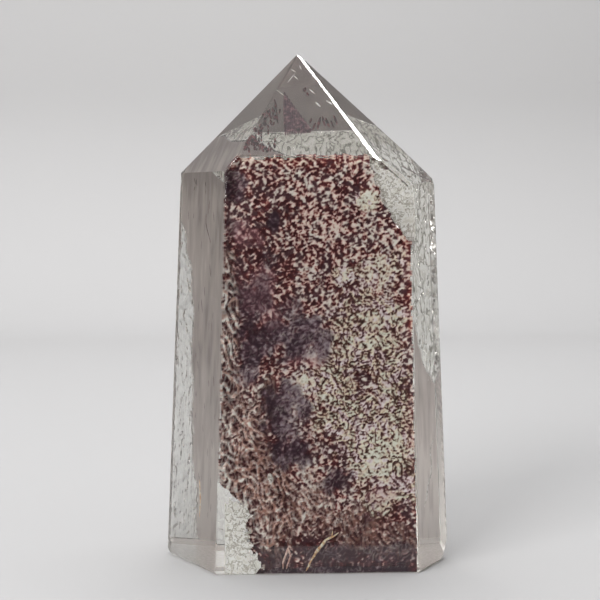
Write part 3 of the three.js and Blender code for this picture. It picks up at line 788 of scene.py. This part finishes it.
def splinters(name, material, lines, depth_at):
    """One piece of thin splinters, each drawn out between two places given as (x, z) in mm."""
    shape = bmesh.new()
    for thick, line in lines:
        start, end = (Vector((x, depth_at(x, z), z)) * MM for x, z in line)
        turned = (end - start).to_track_quat("Z", "Y").to_matrix().to_4x4()
        drawn_out = Matrix.Diagonal((thick * MM, thick * MM, (end - start).length * 0.6, 1))
        bmesh.ops.create_uvsphere(shape, u_segments=6, v_segments=6, radius=1.0,
                                  matrix=Matrix.Translation((start + end) / 2) @ turned @ drawn_out)
    for f in shape.faces:
        f.smooth = True
    finish_piece(shape, name, material, "garden_minerals")


front_face = broadest(lambda n: n.y < -0.9)
left_face = broadest(lambda n: n.y < -0.3 and n.x < -0.5)
right_face = broadest(lambda n: n.y < -0.3 and n.x > 0.5)
oxide = stained("iron_oxide_flakes_dull", (0.35, "#1e1014"), (0.5, "#361f24"), (0.65, "#5b3f44"))
dark_oxide = stained("iron_oxide_needles_dull", (0.35, "#120606"), (0.5, "#2a1213"),
                     (0.65, "#50292a"))
golden = stained("iron_stain_in_crack_dull", (0.35, "#a8714a"), (0.5, "#dcb07e"), (0.62, "#f7e6c6"))
clay_tan = stained("clay_in_crack_dull", (0.35, "#8e6459"), (0.5, "#b98d80"), (0.62, "#d8b5a6"))
for name, material, lines, face, depth in (
        ("iron_seams", golden, STAINED, front_face, 0.6),
        ("clay_seams", clay_tan, CLAYEY, front_face, 0.6),
        ("ochre_stain_left", golden, OCHRE, left_face, 0.5),
        ("iron_flake", oxide, flake, front_point, 0.6),
        ("iron_needles", dark_oxide, NEEDLES + blades, front_point, 0.6),
        ("dark_ticks_left", oxide, LEFT_TICKS + ticks, left_face, 0.5),
        ("crack_in_shoulder", oxide, SHOULDER_CRACK, right_point, 0.5),
        ("white_flecks_and_glints", veil_milk, FLECKS_AND_GLINTS, front_point, 0.5),
        ("white_scratch_and_highlights_right", veil_milk, RIGHT_SCRATCH_AND_HIGHLIGHTS, right_face, 0.5),
        ("feldspar_grain", veil_milk, FELDSPAR, front_face, 0.7)):
    splinters(name, material, lines, under(face, depth))

# The stage. A pale, matt sheet of paper lies under the stone and is swept up behind it in one soft
# curve. It ends just in front of the stone, so that the front faces mirror the dark in front of it.
FLOOR_FRONT, SWEEP_AT, SWEEP_RADIUS = -28.0, 270.0, 80.0
SHEET_WIDE, SHEET_TALL = 1000.0, 500.0
FLOOR_DROP = 0.03       # a gap under the base, so that the two don't flicker
SWEEP_STEPS = 24
paper, tree = new_material("paper_matt_plain")
body = add(tree, "ShaderNodeBsdfPrincipled", {"Base Color": colour("#afaeae"), "Roughness": 0.9})
add(tree, "ShaderNodeOutputMaterial", {"Surface": body})
sheets = bmesh.new()
ends = [bmesh.ops.create_vert(sheets, co=Vector((side, FLOOR_FRONT, -FLOOR_DROP)) * MM)["vert"][0]
        for side in (-SHEET_WIDE / 2, SHEET_WIDE / 2)]
edge = [sheets.edges.new(ends)]
moves = [Vector((0, SWEEP_AT - FLOOR_FRONT, 0))]
turn = math.radians(90) / SWEEP_STEPS
for piece in range(SWEEP_STEPS):
    angle = turn * (piece + 0.5)
    moves.append(Vector((0, math.cos(angle), math.sin(angle))) * (SWEEP_RADIUS * turn))
moves.append(Vector((0, 0, SHEET_TALL)))
for move in moves:
    drawn = bmesh.ops.extrude_edge_only(sheets, edges=edge)["geom"]
    bmesh.ops.translate(sheets, verts=[v for v in drawn if isinstance(v, bmesh.types.BMVert)],
                        vec=move * MM)
    edge = [e for e in drawn if isinstance(e, bmesh.types.BMEdge)
            and all(v in drawn for v in e.verts)]
for f in sheets.faces:
    f.smooth = True
mesh = bpy.data.meshes.new("backdrop")
sheets.to_mesh(mesh)
sheets.free()
mesh.materials.append(paper)
backdrop = bpy.data.objects.new("backdrop", mesh)
bpy.context.scene.collection.objects.link(backdrop)

# Plain soft studio light: an even grey room that is dark behind the camera, a broad softbox
# overhead, one at the front left, one for the paper behind, and a small lamp at the upper right
# that draws the glints along the edges.
room = bpy.data.worlds.new("studio")
bpy.context.scene.world = room
room.use_nodes = True
tree = room.node_tree
tree.nodes.clear()
look = add(tree, "ShaderNodeTexCoord")
parts = add(tree, "ShaderNodeSeparateXYZ", {0: look.outputs["Object"]})
above = add(tree, "ShaderNodeMapRange", {"Value": parts.outputs["Z"], "From Min": 0.1,
                                         "From Max": 0.7}, interpolation_type="SMOOTHSTEP")
level = add(tree, "ShaderNodeMix", {0: above, 6: colour("#bcb9b5"), 7: colour("#e6e8ea")},
            data_type="RGBA").outputs[2]
front = add(tree, "ShaderNodeMapRange", {"Value": parts.outputs["Y"], "From Min": -0.5,
                                         "From Max": -0.85}, interpolation_type="SMOOTHSTEP")
level = add(tree, "ShaderNodeMix", {0: front, 6: level, 7: colour("#4a4644")},
            data_type="RGBA").outputs[2]
glow = add(tree, "ShaderNodeBackground", {"Color": level, "Strength": 1.0})
add(tree, "ShaderNodeOutputWorld", {"Surface": glow})


def softbox(name, place, size, watts, aim=(0, 0, 0.03), only_glints=False):
    """A square lamp that faces the stone, or the place it is aimed at. Places and its size are in
    metres."""
    lamp = bpy.data.lights.new(name, "AREA")
    lamp.shape, lamp.size, lamp.energy = "SQUARE", size, watts
    box = bpy.data.objects.new(name, lamp)
    box.location = place
    box.rotation_euler = (Vector(aim) - box.location).to_track_quat("-Z", "Y").to_euler()
    box.visible_diffuse = box.visible_transmission = not only_glints
    bpy.context.scene.collection.objects.link(box)


softbox("overhead_softbox", (-0.05, -0.1, 0.6), 0.5, 0.4)
softbox("front_softbox", (-0.35, -0.45, 0.22), 0.3, 4.8)
softbox("paper_softbox", (0, 0.17, 0.42), 0.3, 1.2, aim=(0, 0.3, 0.0))
softbox("glint_lamp", (0.235, 0.079, 0.49), 0.1, 1.2, only_glints=True)

# The camera stands about 170 mm in front of the stone, a little to the left and above its middle,
# and looks slightly down and to the right. Light crosses many faces in the stone, so more bounces
# than usual are followed.
CAMERA_AT = Vector((-9.82, -180.78, 45.464))
LOOKS_DOWN, LOOKS_RIGHT = 4.25, 2.843       # degrees
eye = bpy.data.cameras.new("camera")
eye.lens, eye.clip_start = 88.3, 10 * MM
camera = bpy.data.objects.new("camera", eye)
camera.location = CAMERA_AT * MM
camera.rotation_euler = (math.radians(90 - LOOKS_DOWN), 0, math.radians(-LOOKS_RIGHT))
bpy.context.scene.collection.objects.link(camera)
bpy.context.scene.camera = camera
bpy.context.scene.view_settings.view_transform = "Standard"
bpy.context.scene.cycles.transmission_bounces = 16
bpy.context.scene.cycles.max_bounces = 20
